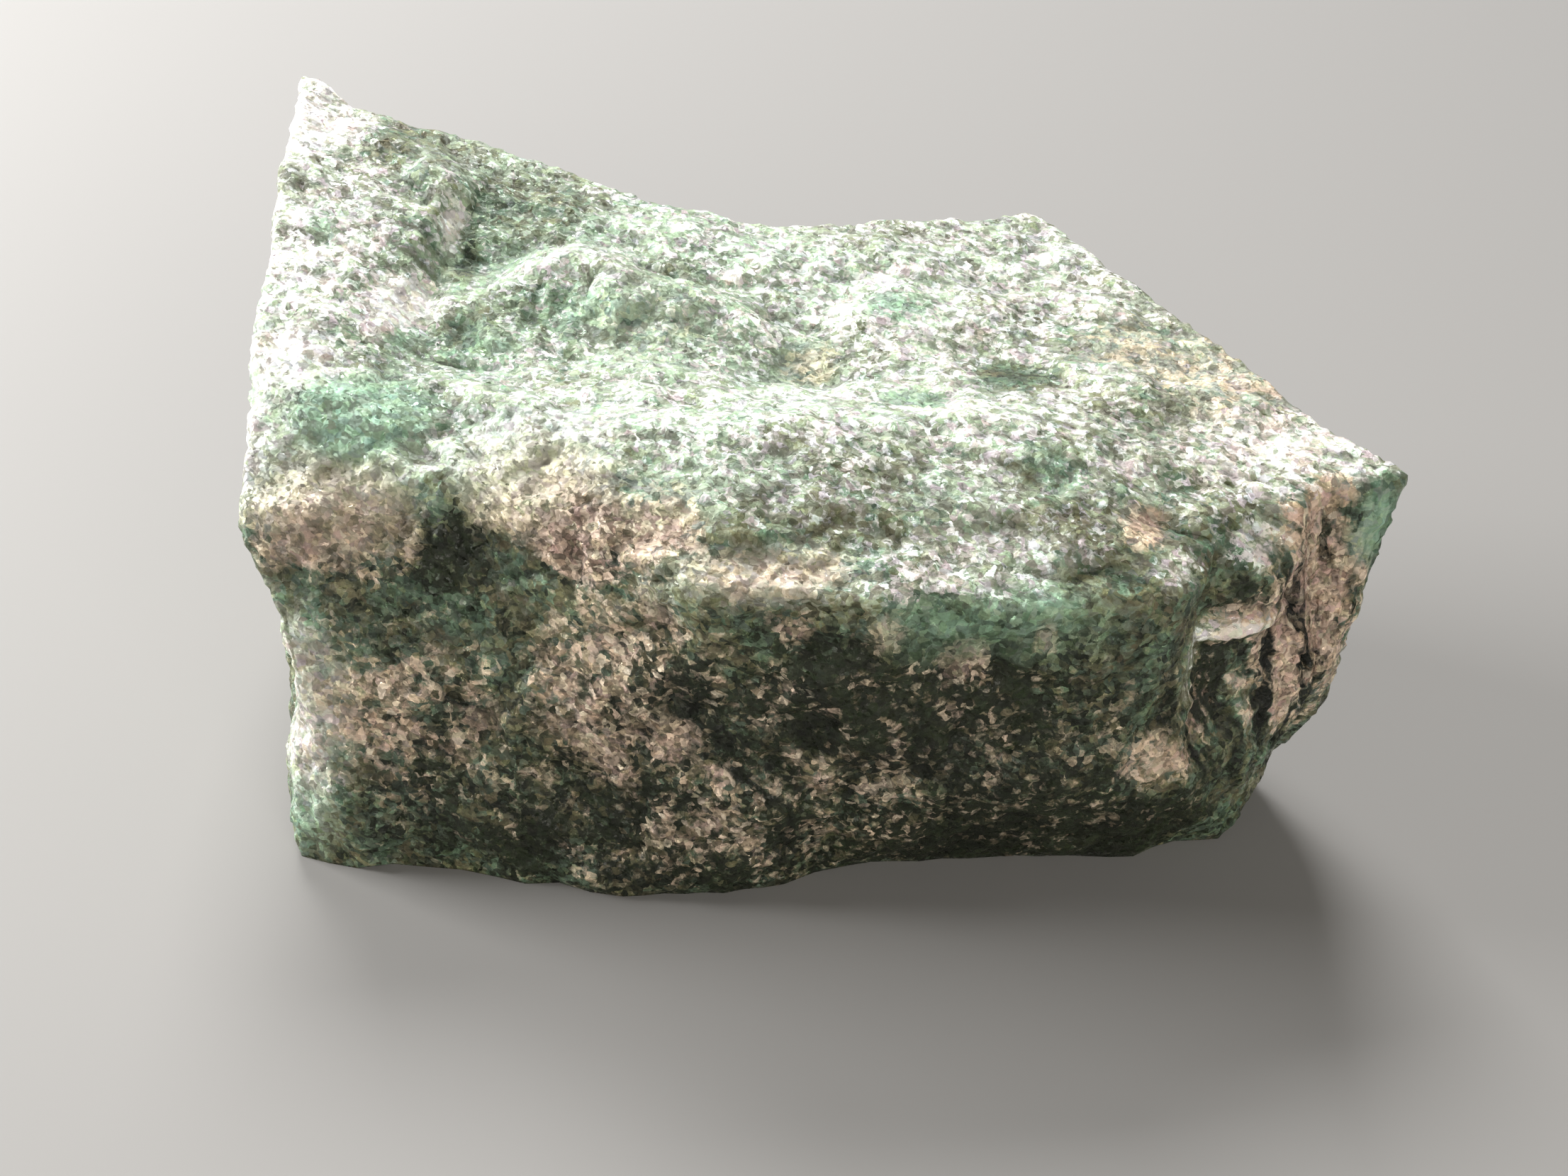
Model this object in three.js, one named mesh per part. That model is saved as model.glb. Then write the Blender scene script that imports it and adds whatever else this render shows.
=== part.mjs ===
// Raw aventurine: one hand-sized chunk of green quartzite, broken from a bank of rock.
//
// The stone is drawn as ridge lines. Each line runs along one edge, shelf or hollow of
// the stone from its left face to its right end, and has only the points that it needs.
// Ribbons of triangles join each line to the next, all the way round, and a fan closes
// each end. The skin is then cut into small triangles, and broken into swells and
// tilted shards, as quartzite breaks. It lies on the flat cleft that is its underside.
//
// Units are millimetres. +X runs along the stone, +Y to its back, and +Z up.

import * as THREE from 'three';

// ---------------------------------------------------------------- driving dimensions

const LENGTH = 89.5; // left face to the tip of the right end
const DEPTH = 54; // front face to the back corner
const HEIGHT = 46.5; // resting face to the top of the back left peak

const SKIN_STEP = 3; // longest triangle edge of the unbroken skin
const LOWEST_SKIN = 0.4; // how near the broken skin may come to the resting plane

// The quartz grains lie in sheets, upright and slightly turned, so the stone parts into
// lenses that are thin across this direction.
const SHEETING = new THREE.Vector3(0.26, 0.965, 0).normalize();
const SHEETING_SQUASH = 1.7; // how many times thinner than long a lens is

// Each layer of relief: the size of its features, and how far it moves the skin.
const SWELLS = [
  { size: 18, depth: 0.5, seed: 11 },
  { size: 8, depth: 0.25, seed: 12 },
];
const SHARDS = [
  { size: 13, depth: 0.6, seed: 21 },
  { size: 6, depth: 0.4, seed: 22 },
];

const SHARD_TILT = 1.4; // how steeply a shard leans, in depths per size
const SHARPNESS = 3; // how firmly tips and ridges keep their place as the skin breaks

const STONE_COLOUR = 0x6f8f7b;
const STONE_ROUGHNESS = 0.5;

// ---------------------------------------------------------------------- ridge lines
// In order from the foot of the back, over the top and down the front.

const RIDGES = {
  backFoot: [
    [-40, 24, 0], [-30, 22.5, 0], [-14, 18.5, 0], [2, 17, 0], [16.5, 16.5, 0],
    [27, 6, 0], [34, -3, 0], [41.5, -11.5, 0],
  ],
  backLow: [
    [-42, 27.5, 12], [-27, 25.5, 13], [-12, 20.5, 11], [4, 19.5, 12], [20, 19, 14],
    [31, 7, 13], [39, -3, 12], [45.4, -12.6, 10],
  ],
  backHigh: [
    [-42.5, 29, 30], [-28, 27.5, 28], [-13, 21.5, 29], [2, 18, 27], [20, 21, 27],
    [31.5, 9.5, 28], [41, -2, 27], [45.2, -12.6, 24],
  ],
  crest: [
    [-42, 29.2, 46.3], [-37.5, 26.5, 44.5], [-30, 24.5, 43], [-23, 22.5, 42],
    [-17.5, 20.5, 41], [-10.5, 18, 40], [-1.5, 15.5, 39], [11, 16.5, 39], [21.5, 18, 39],
    [28.5, 9, 38], [35, 0, 37], [40, -6.8, 36.2], [45.4, -12.4, 36],
  ],
  backShelf: [
    [-41.5, 18, 44], [-36, 18, 43.2], [-31.5, 17, 42.8], [-28.5, 16, 42.2], [-26, 18, 40.6],
    [-22, 18.5, 40], [-16, 16.5, 40], [-10, 13.5, 39.5], [-2, 11, 38.5], [5, 11.5, 39],
    [13, 11.5, 38.5], [22, 10.5, 38], [29, 3, 37.5], [34.5, -4, 36.5], [43.2, -12.8, 35.5],
  ],
  hollow: [
    [-41.5, 12, 42.5], [-36, 11.5, 41.6], [-30.2, 11, 40.6], [-28, 11.5, 38],
    [-23, 12, 38], [-16.5, 13, 39], [-10, 9.5, 38.5], [-2, 7, 37], [5, 7.5, 37.8],
    [9, 7, 38.6], [14, 6.5, 37.8], [21, 6, 37], [28, 0, 37], [34, -6, 36.3],
    [41.5, -12.5, 35.2],
  ],
  fin: [
    [-41.2, 7, 39.8], [-36, 7, 39.8], [-31.4, 6, 38.9], [-29.3, 5.5, 37.2], [-25.5, 6.5, 38.6],
    [-21, 8, 40], [-17.5, 9.2, 41], [-14, 8.5, 40.8], [-9, 6.2, 39.3], [-3, 4.5, 37.8],
    [1.5, 3, 36.2], [6, 4, 37.6], [12, 4, 37.6], [20, 2, 36.3], [27, -3, 37], [33, -7.5, 36],
    [39.7, -12.4, 35],
  ],
  basin: [
    [-41.5, 3.5, 38.3], [-36, 3, 38.2], [-32, 2.2, 37.3], [-28.5, 1.8, 35.4],
    [-22, 0.5, 35.2], [-17, 1.5, 36.3], [-12, 1.5, 37.2], [-6, -0.5, 36.5], [-1, -0.5, 35.2],
    [3.5, -1, 35], [8, -1, 36.3], [13, -1, 36.3], [18.5, 0, 35.2], [25, -5, 36.8],
    [31.5, -9.2, 35.6], [39.1, -12.6, 34.9],
  ],
  shelf: [
    [-41.1, -0.5, 36.8], [-37, -1, 37], [-31, 0, 36.4], [-27, 0, 35.6], [-22, -2, 36],
    [-17, -5, 36.6], [-11, -6, 37.2], [-5, -5, 36.6], [2, -5, 36.8], [9, -5, 36.5],
    [15, -5, 36.8], [22, -6, 37], [31.6, -10.3, 35.4], [38.4, -12.9, 34.6],
  ],
  brow: [
    [-41.2, -4, 34.8], [-37, -4, 36.3], [-31.5, -2.5, 36.4], [-26.5, -1.5, 36.5],
    [-20, -6, 37.2], [-13.5, -9.5, 38], [-6.5, -10, 38.2], [-0.5, -9.5, 38.2],
    [5.5, -9, 38.2], [12, -8.5, 38.2], [18, -8, 37.8], [24, -9.5, 37.2], [31.6, -11.6, 35.2],
    [37.8, -13.4, 34],
  ],
  bevel: [
    [-41.4, -8, 31.5], [-36, -8, 34], [-30, -6.5, 34.8], [-25.5, -5.5, 34.8], [-19.5, -10.5, 34.8],
    [-12.5, -14.5, 35], [-6, -15.5, 36], [-0.5, -15.5, 36], [5.5, -15.5, 36],
    [11.5, -16, 36], [18, -16, 36], [24.5, -16, 35], [31.5, -14, 33.9], [37.5, -14.3, 32.8],
  ],
  strip: [
    [-41.6, -10, 29], [-36.5, -11, 31], [-29.8, -10, 32.5], [-25, -9, 34], [-19.5, -13.2, 33],
    [-12, -16.5, 33], [-5.5, -19, 33.6], [2, -19.2, 33.6], [9, -19.8, 33.7], [16.5, -20, 33.4],
    [23, -19.8, 33.3], [28.5, -18.2, 33.2], [31.3, -16, 32.5], [37.4, -15.1, 31],
  ],
  ledge: [
    [-41.5, -11, 27.5], [-36.5, -12, 28.5], [-29.5, -11.5, 30], [-24.5, -10.5, 33],
    [-19.5, -14, 30.5], [-11.5, -17.2, 31], [-5.5, -21.2, 32.9], [3.5, -21.8, 33],
    [9, -21.8, 33], [16.5, -22.3, 32.2], [23, -21.8, 32.5], [28.5, -20.8, 32.5], [31, -17.5, 31.2],
    [37.5, -15.7, 28.8],
  ],
  faceHigh: [
    [-40.3, -13, 24], [-36, -14, 24.5], [-30, -14, 26], [-24, -13, 28], [-19.5, -15, 25.5],
    [-12, -17.5, 26.5], [-5.5, -21, 28], [4.5, -22, 27], [10, -22, 27.5], [17, -22, 27],
    [24, -22, 26.5], [29, -21, 28], [31, -18, 27], [38, -16.3, 23.5],
  ],
  faceMid: [
    [-39, -16, 17.5], [-36, -17, 17], [-30, -17.5, 17.5], [-24.5, -17.5, 19],
    [-18.5, -18.5, 18.5], [-12, -20, 19.5], [-5, -21.5, 20.5], [5.5, -22.5, 19],
    [11.5, -22.5, 19], [18.5, -22.5, 18.5], [26, -22.5, 18], [30, -21, 19], [32, -18.5, 19],
    [39, -17, 16.5],
  ],
  lip: [
    [-40.4, -18, 8], [-36.5, -20, 8], [-24.5, -21.5, 8], [-12, -22.5, 7.5], [-5.5, -23, 9],
    [0, -23, 11], [6.5, -23, 12], [13, -23.5, 13.5], [20.5, -23.5, 14.5], [27, -23, 12],
    [32, -22, 10.5], [39.7, -17.5, 8.5],
  ],
  frontFoot: [
    [-41.5, -20.5, 0], [-36.5, -22, 0], [-24.5, -22, 0], [-13.5, -24, 0], [0, -23.5, 0],
    [5.5, -21.5, 0], [13.5, -20.5, 0], [30, -20.5, 0], [38, -19, 0],
  ],
};
const LEFT_FACE_MIDDLE = [-44, 5, 20];
const RIGHT_END_MIDDLE = [43, -14.4, 15];

// ------------------------------------------------------------------------- the cage

const cagePoints = [];
const cageTriangles = [];

function addPoint(point) {
  cagePoints.push(new THREE.Vector3(...point));
  return cagePoints.length - 1;
}

// Joins two ridge lines, walking both from left to right: the line whose next point
// comes first takes the next step.
function addRibbon(back, front) {
  let b = 0;
  let f = 0;
  while (b < back.length - 1 || f < front.length - 1) {
    const nextBack = b < back.length - 1 ? cagePoints[back[b + 1]].x : Infinity;
    const nextFront = f < front.length - 1 ? cagePoints[front[f + 1]].x : Infinity;
    if (nextBack < nextFront) {
      cageTriangles.push([back[b], front[f], back[b + 1]]);
      b += 1;
    } else {
      cageTriangles.push([back[b], front[f], front[f + 1]]);
      f += 1;
    }
  }
}

// Closes one end of the stone with a fan round a point in its middle.
function addFan(rim, middle) {
  const centre = addPoint(middle);
  rim.forEach((corner, i) => {
    cageTriangles.push([corner, rim[(i + 1) % rim.length], centre]);
  });
}

const lines = Object.values(RIDGES).map((line) => line.map(addPoint));
lines.slice(1).forEach((line, i) => addRibbon(lines[i], line));
addFan(lines.map((line) => line[0]).reverse(), LEFT_FACE_MIDDLE);
addFan(lines.map((line) => line.at(-1)), RIGHT_END_MIDDLE);

// ------------------------------------------------------------------------- the skin

// Splits every edge longer than SKIN_STEP at its middle, until none is left. Both
// triangles of an edge share its new point, so the skin stays whole.
function refine(points, triangles) {
  let skin = triangles;
  let middles;
  const middleOf = (a, b) => {
    if (points[a].distanceTo(points[b]) <= SKIN_STEP) return -1;
    const key = edgeKey(Math.min(a, b), Math.max(a, b));
    if (!middles.has(key)) {
      points.push(points[a].clone().lerp(points[b], 0.5));
      middles.set(key, points.length - 1);
    }
    return middles.get(key);
  };
  do {
    const next = [];
    middles = new Map();
    skin.forEach((triangle) => splitTriangle(triangle, middleOf, points, next));
    skin = next;
  } while (middles.size > 0);
  return skin;
}

function edgeKey(a, b) {
  return `${a},${b}`;
}

// Cuts one triangle at the middles of its long edges.
function splitTriangle([a, b, c], middleOf, points, out) {
  const ab = middleOf(a, b);
  const bc = middleOf(b, c);
  const ca = middleOf(c, a);
  const cuts = [ab, bc, ca].filter((cut) => cut >= 0).length;
  if (cuts === 0) out.push([a, b, c]);
  if (cuts === 3) out.push([a, ab, ca], [ab, b, bc], [ca, bc, c], [ab, bc, ca]);
  if (cuts === 1) {
    if (ab >= 0) out.push([a, ab, c], [ab, b, c]);
    if (bc >= 0) out.push([b, bc, a], [bc, c, a]);
    if (ca >= 0) out.push([c, ca, b], [ca, a, b]);
  }
  if (cuts === 2) {
    if (ab < 0) cutCorner(c, a, b, ca, bc, points, out);
    if (bc < 0) cutCorner(a, b, c, ab, ca, points, out);
    if (ca < 0) cutCorner(b, c, a, bc, ab, points, out);
  }
}

// Cuts the corner off a triangle, and the rest along its shorter diagonal.
function cutCorner(corner, second, third, nearSecond, nearThird, points, out) {
  out.push([corner, nearSecond, nearThird]);
  const toThird = points[nearSecond].distanceTo(points[third]);
  const toSecond = points[nearThird].distanceTo(points[second]);
  if (toThird < toSecond) {
    out.push([nearSecond, second, third], [nearSecond, third, nearThird]);
  } else {
    out.push([nearSecond, second, nearThird], [second, third, nearThird]);
  }
}

// ------------------------------------------------------------------------- the relief

// A repeatable number from 0 to 1 for one cell of space.
function chance(x, y, z, seed) {
  let mix = Math.imul(x, 374761393) + Math.imul(y, 668265263);
  mix += Math.imul(z, 1440662683) + Math.imul(seed, 974634777);
  mix = Math.imul(mix ^ (mix >>> 13), 1274126177);
  mix = Math.imul(mix ^ (mix >>> 16), 461845907);
  return ((mix ^ (mix >>> 15)) >>> 0) / 4294967296;
}

// Space squeezed across the sheets, so that what is round in it is a lens in the stone.
function alongSheets(point) {
  const across = point.dot(SHEETING);
  return point.clone().addScaledVector(SHEETING, across * (SHEETING_SQUASH - 1));
}

// Soft swells from -1 to 1: chances at the corners of cells, blended smoothly between.
function swell(point, size, seed) {
  const at = point.clone().divideScalar(size);
  const cell = at.clone().floor();
  const [u, v, w] = at.sub(cell).toArray().map((t) => t * t * (3 - 2 * t));
  let sum = 0;
  for (let corner = 0; corner < 8; corner += 1) {
    const [i, j, k] = [corner & 1, (corner >> 1) & 1, corner >> 2];
    const weight = (i ? u : 1 - u) * (j ? v : 1 - v) * (k ? w : 1 - w);
    sum += weight * chance(cell.x + i, cell.y + j, cell.z + k, seed);
  }
  return 2 * sum - 1;
}

// Tilted shards: space is shared between scattered centres, and round each centre the
// skin is one flat plane with its own tilt, so ledges stand where two shards meet.
function shard(point, size, seed) {
  const at = point.clone().divideScalar(size);
  const home = at.clone().floor();
  const centre = new THREE.Vector3();
  const tilt = new THREE.Vector3();
  let nearest = Infinity;
  let height = 0;
  for (let i = 0; i < 27; i += 1) {
    const x = home.x + (i % 3) - 1;
    const y = home.y + (Math.floor(i / 3) % 3) - 1;
    const z = home.z + Math.floor(i / 9) - 1;
    const spot = [1, 2, 3].map((axis) => chance(x, y, z, seed * 10 + axis));
    centre.set(x + spot[0], y + spot[1], z + spot[2]);
    const distance = centre.distanceToSquared(at);
    if (distance < nearest) {
      nearest = distance;
      const lean = [4, 5, 6].map((axis) => chance(x, y, z, seed * 10 + axis) - 0.5);
      tilt.fromArray(lean).normalize();
      height = tilt.dot(centre.subVectors(at, centre)) * SHARD_TILT;
    }
  }
  return height;
}

function relief(point) {
  const sheet = alongSheets(point);
  let depth = 0;
  SWELLS.forEach((layer) => {
    depth += layer.depth * swell(sheet, layer.size, layer.seed);
  });
  SHARDS.forEach((layer) => {
    depth += layer.depth * shard(sheet, layer.size, layer.seed);
  });
  return depth;
}

// Moves each point of the skin in or out. Tips and sharp ridges, where the faces round
// a point disagree, stay sharp: they and the points beside them move least. Points on
// the resting plane stay on it.
function breakSkin(points, triangles) {
  const outward = points.map(() => new THREE.Vector3());
  const facing = points.map(() => 0);
  triangles.forEach((triangle) => {
    const [a, b, c] = triangle.map((i) => points[i]);
    const normal = b.clone().sub(a).cross(c.clone().sub(a));
    triangle.forEach((i) => {
      outward[i].add(normal);
      facing[i] += normal.length();
    });
  });
  const flatness = outward.map((sum, i) => (sum.length() / facing[i]) ** SHARPNESS);
  const freedom = [...flatness];
  triangles.forEach((triangle) => {
    const least = Math.min(...triangle.map((i) => flatness[i]));
    triangle.forEach((i) => {
      freedom[i] = Math.min(freedom[i], least);
    });
  });
  return points.map((point, i) => {
    const depth = relief(point) * freedom[i];
    const moved = point.clone().addScaledVector(outward[i].normalize(), depth);
    moved.z = point.z === 0 ? 0 : Math.max(moved.z, LOWEST_SKIN);
    return moved;
  });
}

// Closes the open rim of the skin with the flat resting face, turned to face down.
function addRestingFace(points, triangles) {
  const edges = triangles.flatMap(([a, b, c]) => [[a, b], [b, c], [c, a]]);
  const known = new Set(edges.map(([a, b]) => edgeKey(a, b)));
  const open = new Map(edges.filter(([a, b]) => !known.has(edgeKey(b, a))));
  const rim = [open.keys().next().value];
  while (open.get(rim.at(-1)) !== rim[0]) rim.push(open.get(rim.at(-1)));
  const outline = rim.map((i) => new THREE.Vector2(points[i].x, points[i].y));
  const faces = THREE.ShapeUtils.triangulateShape(outline, []);
  return triangles.concat(faces.map(([a, b, c]) => [rim[a], rim[c], rim[b]]));
}

// Stretches the finished stone to its driving dimensions and puts the middle of its
// resting face's box at the origin.
function settle(points) {
  const box = new THREE.Box3().setFromPoints(points);
  const middle = box.getCenter(new THREE.Vector3()).setZ(0);
  const size = box.getSize(new THREE.Vector3());
  const stretch = new THREE.Vector3(LENGTH, DEPTH, HEIGHT).divide(size);
  return points.map((point) => point.sub(middle).multiply(stretch));
}

const skinTriangles = refine(cagePoints, cageTriangles);
const skinPoints = settle(breakSkin(cagePoints, skinTriangles));
const stoneTriangles = addRestingFace(skinPoints, skinTriangles);

const geometry = new THREE.BufferGeometry().setFromPoints(skinPoints);
geometry.setIndex(stoneTriangles.flat());
geometry.computeVertexNormals();

const stone = new THREE.Mesh(
  geometry,
  new THREE.MeshStandardMaterial({
    color: STONE_COLOUR,
    roughness: STONE_ROUGHNESS,
    metalness: 0,
    flatShading: true,
  }),
);
stone.name = 'raw_stone';

const rawAventurine = new THREE.Group();
rawAventurine.add(stone);

export default rawAventurine;
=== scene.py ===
# %% [markdown]
# # A rough chunk of aventurine
#
# Aventurine is quartzite: grains of glassy quartz, grown together and coloured green by
# tiny flakes of mica. This lesson takes a plain solid of one broken chunk, roughens it
# as quartzite breaks, and then colours it grain by grain.
#
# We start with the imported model. It is the fixed frame: metres, Z up, and the stone
# lies on the floor at z = 0. Everything we make must stay inside its box.

# %% Load the frame
import math

import bpy
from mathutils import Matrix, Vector


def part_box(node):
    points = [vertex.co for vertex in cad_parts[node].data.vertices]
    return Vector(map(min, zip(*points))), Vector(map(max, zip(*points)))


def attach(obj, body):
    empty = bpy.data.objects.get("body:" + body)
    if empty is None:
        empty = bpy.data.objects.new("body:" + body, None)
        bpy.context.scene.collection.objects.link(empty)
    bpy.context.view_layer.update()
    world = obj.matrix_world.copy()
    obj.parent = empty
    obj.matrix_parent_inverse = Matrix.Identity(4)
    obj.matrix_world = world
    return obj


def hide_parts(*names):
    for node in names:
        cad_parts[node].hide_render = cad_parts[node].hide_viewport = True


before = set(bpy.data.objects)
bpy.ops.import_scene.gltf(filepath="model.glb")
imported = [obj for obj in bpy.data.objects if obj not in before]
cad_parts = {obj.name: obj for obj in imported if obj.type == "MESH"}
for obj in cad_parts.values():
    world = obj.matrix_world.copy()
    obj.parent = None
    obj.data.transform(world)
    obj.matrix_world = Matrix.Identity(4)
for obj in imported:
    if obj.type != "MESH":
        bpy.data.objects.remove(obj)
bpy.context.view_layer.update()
MM = 0.001
stone_low, stone_high = (Vector(corner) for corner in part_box("raw_stone"))
stone_middle = (stone_low + stone_high) / 2
print("stone, mm:", [round(side / MM, 1) for side in stone_high - stone_low])


# %% [markdown]
# The relief and the colours are both node trees. They could be wired by hand in the node
# editor, but a written tree is easier to repeat and to read. So a few small helpers come
# first. Each input of a node is fed with a plain value or with another node's output, and
# the helpers take both alike.

# %% Node helpers
def feed(tree, socket, value):
    """Links a socket to another node's output, or sets its plain value."""
    if isinstance(value, bpy.types.NodeSocket):
        tree.links.new(value, socket)
    else:
        socket.default_value = value


def add(tree, kind, inputs=None, **settings):
    """Makes a node of a kind, with its settings and its inputs."""
    made = tree.nodes.new(kind)
    for name, value in settings.items():
        setattr(made, name, value)
    for key, value in (inputs or {}).items():
        feed(tree, made.inputs[key], value)
    return made


def maths(tree, operation, *values):
    """Adds one sum of numbers."""
    inputs = dict(enumerate(values))
    return add(tree, "ShaderNodeMath", inputs, operation=operation).outputs[0]


def vectors(tree, operation, *values):
    """Adds one sum of vectors. Only a scale takes a number, in an input with a name."""
    keys = (0, "Scale") if operation == "SCALE" else range(len(values))
    made = add(tree, "ShaderNodeVectorMath", dict(zip(keys, values)), operation=operation)
    return made.outputs["Value" if operation == "DOT_PRODUCT" else "Vector"]


# %% [markdown]
# A hand-sized stone is looked at from close by. A wide lens at a short distance makes its
# front face look tall and its back edge short, which a long lens from far away would not.
# The camera stands in front of the stone and looks half down on it.

# %% Camera
CAMERA_AT = Vector((-0.7, -99.3, 109.0)) * MM
LOOK_DOWN = math.radians(45)
LENS_MM = 35
NEAREST_SEEN = 5 * MM

bpy.ops.object.camera_add(location=CAMERA_AT, rotation=(LOOK_DOWN, 0, 0))
camera = bpy.context.object
camera.name = "camera"
camera.data.lens = LENS_MM
camera.data.clip_start = NEAREST_SEEN
bpy.context.scene.camera = camera
print("camera to stone, mm:", round((CAMERA_AT - stone_middle).length / MM))

# %% [markdown]
# The stone lies on a floor large enough to fill the view. It could be given a grain or a
# weave, but nothing on it should draw the eye, so it has one pale and dull colour. It
# lies a hair below z = 0, so that it doesn't fight with the stone's flat underside.

# %% Floor
FLOOR_SIDE = 3.0
FLOOR_DROP = 0.05 * MM
FLOOR_COLOUR = (0.27, 0.265, 0.26, 1)
FLOOR_ROUGHNESS = 0.9

bpy.ops.mesh.primitive_plane_add(size=FLOOR_SIDE, location=(0, 0, -FLOOR_DROP))
floor = bpy.context.object
floor.name = "floor"
floor_paint = bpy.data.materials.new("pale floor")
floor_paint.use_nodes = True
floor_shader = floor_paint.node_tree.nodes["Principled BSDF"]
floor_shader.inputs["Base Color"].default_value = FLOOR_COLOUR
floor_shader.inputs["Roughness"].default_value = FLOOR_ROUGHNESS
floor.data.materials.append(floor_paint)
print("floor side, m:", FLOOR_SIDE)

# %% [markdown]
# Grain shows best in light that rakes over it. One strong light behind the stone, as from
# a window, whitens the top and leaves the front in shade. A second one on the left, low
# and behind, glances along the left edge. A dim and warm one in front keeps the shaded
# face readable, and the room adds a little light from all around. Light from everywhere
# would be simpler, but it would flatten the grain. The Standard view shows each colour as
# it is stated, where the default one would grey the white grains.

# %% Lights
ROOM_COLOUR = (1.0, 0.98, 0.95, 1)
ROOM_STRENGTH = 0.16


def add_softbox(name, place_mm, width_mm, height_mm, watts, colour):
    """A rectangular light at a place, turned to face the stone."""
    place = Vector(place_mm) * MM
    aim = stone_middle - place
    bpy.ops.object.light_add(type="AREA", location=place)
    lamp = bpy.context.object
    lamp.name = name
    lamp.rotation_euler = aim.to_track_quat("-Z", "Y").to_euler()
    lamp.data.shape = "RECTANGLE"
    lamp.data.size = width_mm * MM
    lamp.data.size_y = height_mm * MM
    lamp.data.energy = watts
    lamp.data.color = colour
    print(name, "shines from", round(aim.length / MM), "mm")


add_softbox("window light", (-90, 560, 640), 380, 280, 10, (1.0, 0.99, 0.97))
add_softbox("left light", (-420, 100, 190), 200, 200, 4.0, (1.0, 0.99, 0.97))
add_softbox("front fill", (140, -400, 200), 400, 300, 1.15, (1.0, 0.95, 0.86))

world = bpy.data.worlds.new("soft room")
bpy.context.scene.world = world
world.use_nodes = True
background = world.node_tree.nodes["Background"]
background.inputs["Color"].default_value = ROOM_COLOUR
background.inputs["Strength"].default_value = ROOM_STRENGTH
bpy.context.scene.view_settings.view_transform = "Standard"

# %% [markdown]
# ## The skin of the stone
#
# The solid has the stone's form in facets two or three millimetres wide. Its triangles
# are loose, so we work on a copy and merge their corners. Each triangle is then cut into
# sixteen, which gives points half a millimetre apart. A bump in the material would cost
# less, but it would leave the outline smooth. Points this close can carry the broken
# relief as real shape.

# %% Copy and subdivide
SAME_POINT = 0.001 * MM
CUTS_PER_EDGE = 3

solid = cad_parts["raw_stone"]
stone = bpy.data.objects.new("rough_stone", solid.data.copy())
bpy.context.scene.collection.objects.link(stone)
stone.data.materials.clear()
bpy.ops.object.select_all(action="DESELECT")
stone.select_set(True)
bpy.context.view_layer.objects.active = stone
bpy.ops.object.mode_set(mode="EDIT")
bpy.ops.mesh.select_all(action="SELECT")
bpy.ops.mesh.remove_doubles(threshold=SAME_POINT)
bpy.ops.mesh.subdivide(number_cuts=CUTS_PER_EDGE)
bpy.ops.object.mode_set(mode="OBJECT")
bpy.ops.object.shade_smooth()
print("skin points:", len(stone.data.vertices), "faces:", len(stone.data.polygons))

# %% [markdown]
# Here and there a sheet of the rock has broken off short and left a small ledge. These
# could be sculpted, but a few pushes of the skin are enough. Each is stated by its
# middle, its reach and how far it pushes, along X, Y and Z in millimetres. The push is
# full at the middle and fades to nothing at the edge, so it leaves no seam. The last one
# lifts the floor of a dent, which the solid's wide facets set too deep.

# %% Small ledges
LEDGES = [
    ((34, -19.5, 25.4), (5, 4, 1.3), (0.3, -1.8, 0.3)),  # sill by the right end
    ((29.5, -21.5, 19), (1.6, 3, 9), (0.3, -0.5, 0)),  # upright edge of the front
    ((18, -3, 35.4), (4.5, 3.5, 3), (0, 0, 0.6)),  # floor of the dent in the top
]


def nearness(point_mm, middle, reach):
    """One at the middle of a blob, zero at its edge, and below zero outside."""
    return 1 - sum(((p - m) / r) ** 2 for p, m, r in zip(point_mm, middle, reach))


pushed = 0
for vertex in stone.data.vertices:
    for middle, reach, push in LEDGES:
        near = max(0.0, nearness(vertex.co / MM, middle, reach))
        vertex.co += Vector(push) * MM * near
        pushed += near > 0
print("points pushed by the ledges:", pushed)

# %% [markdown]
# The rock was once squeezed, and its grains and mica lie in sheets. It parts more easily
# along the sheets than across them. So chips are long along the sheets, and where a break
# cuts through many sheets, their edges stand out as ribs.
#
# Both come from one space that is turned with the sheets and squeezed across them. The
# relief and the colours share it, so that chips, ribs and stains all run the same way.

# %% The direction of the sheets
SHEET_TURN = math.radians(15)
SHEET_SQUEEZE = 1.4
RIB_WIDTH_MM = 1.4
RIB_LENGTH_MM = 10


def in_sheets(tree, place):
    """Turns place so that Y crosses the sheets, and squeezes it across them. In mm."""
    in_mm = vectors(tree, "SCALE", place, 1 / MM)
    turned = add(tree, "ShaderNodeVectorRotate", {"Vector": in_mm, "Angle": SHEET_TURN},
                 rotation_type="Z_AXIS")
    return vectors(tree, "MULTIPLY", turned.outputs[0], (1, SHEET_SQUEEZE, 1))


def rib_height(tree, space):
    """Height from 0 to 1 of the sheets' edges: long in the sheets and thin across them."""
    thin = (1 / RIB_LENGTH_MM, 1 / RIB_WIDTH_MM, 1 / RIB_LENGTH_MM)
    return add(tree, "ShaderNodeTexNoise", {
        "Vector": vectors(tree, "MULTIPLY", space, thin),
        "Scale": 1.0, "Detail": 3.0, "Roughness": 0.6}).outputs[0]


print("sheets are turned by", round(math.degrees(SHEET_TURN)), "degrees about Z")

# %% [markdown]
# Quartzite doesn't break in smooth curves. It parts from grain to grain, so its surface
# is a jumble of tilted chips with little steps between them. Displacing the skin by plain
# noise would give soft dunes. Instead a Voronoi pattern shares space out among random
# cells, and inside each cell the skin is tilted as one flat chip.
#
# A cell's random colour serves as three chances round zero. They lean the chip to one
# side, and together they raise or sink it as a whole.

# %% Chips
CHIP_TILT = 2.2
CHIP_STEP = 0.8
LIFT_SHARES = (0.5, 0.3, 0.2)
HALF = (0.5, 0.5, 0.5)  # the middle of a random colour


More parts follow.
